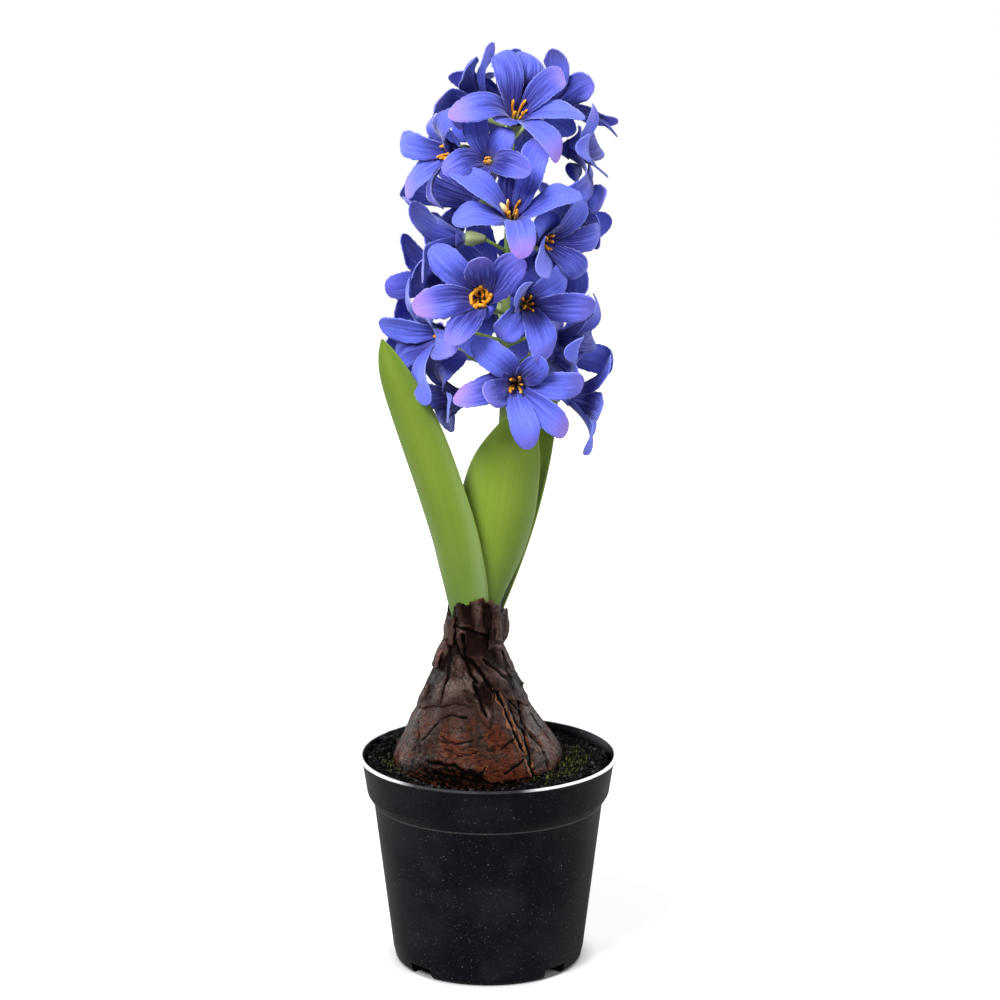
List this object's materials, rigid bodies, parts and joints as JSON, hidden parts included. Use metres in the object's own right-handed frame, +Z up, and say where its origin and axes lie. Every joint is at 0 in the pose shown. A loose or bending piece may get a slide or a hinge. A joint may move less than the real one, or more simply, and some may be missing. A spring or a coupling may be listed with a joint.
{
  "type": "potted hyacinth with bulb",
  "caption": "Hyacinth in flower on its own bulb, with strap leaves and a spike of six-petalled florets, planted in soil in a round tapered pot.",
  "frame": {"origin": "centre of the pot's foot, on the surface it stands on", "axes": "+Z up along the pot's axis, the front with the two broad leaves at -Y, +X to the right seen from the front"},
  "size_m": [0.09, 0.09, 0.3184],
  "materials": {
    "pot": "black with a soft satin sheen",
    "soil": "black crumbly potting soil",
    "bulb": "reddish brown bulb skin with a dull sheen",
    "papery_skin": "dark brown dry paper, creased",
    "leaf": "smooth waxy green",
    "stem": "pale green",
    "petal": "violet blue woven fabric with a soft nap",
    "stamen": "yellow orange"
  },
  "bodies": {
    "root": {"pot": "pot", "soil": "soil", "bulb": "bulb", "papery_skin": "papery_skin", "stem": "stem", "leaf_left": "leaf", "leaf_middle": "leaf", "leaf_back": "leaf", "stamens_01": "stamen", "stamens_02": "stamen", "stamens_03": "stamen", "stamens_04": "stamen", "stamens_05": "stamen", "stamens_06": "stamen", "stamens_07": "stamen", "stamens_08": "stamen", "stamens_09": "stamen", "stamens_10": "stamen", "stamens_11": "stamen", "stamens_12": "stamen", "stamens_13": "stamen", "stamens_14": "stamen", "stamens_15": "stamen", "stamens_16": "stamen", "stamens_17": "stamen", "stamens_18": "stamen", "stamens_19": "stamen", "stamens_20": "stamen", "stamens_21": "stamen", "stamens_22": "stamen", "stamens_23": "stamen", "stamens_24": "stamen", "floret_01": "petal", "floret_02": "petal", "floret_03": "petal", "floret_04": "petal", "floret_05": "petal", "floret_06": "petal", "floret_07": "petal", "floret_08": "petal", "floret_09": "petal", "floret_10": "petal", "floret_11": "petal", "floret_12": "petal", "floret_13": "petal", "floret_14": "petal", "floret_15": "petal", "floret_16": "petal", "floret_17": "petal", "floret_18": "petal", "floret_19": "petal", "floret_20": "petal", "floret_21": "petal", "floret_22": "petal", "floret_23": "petal", "floret_24": "petal"}
  },
  "joints": []
}
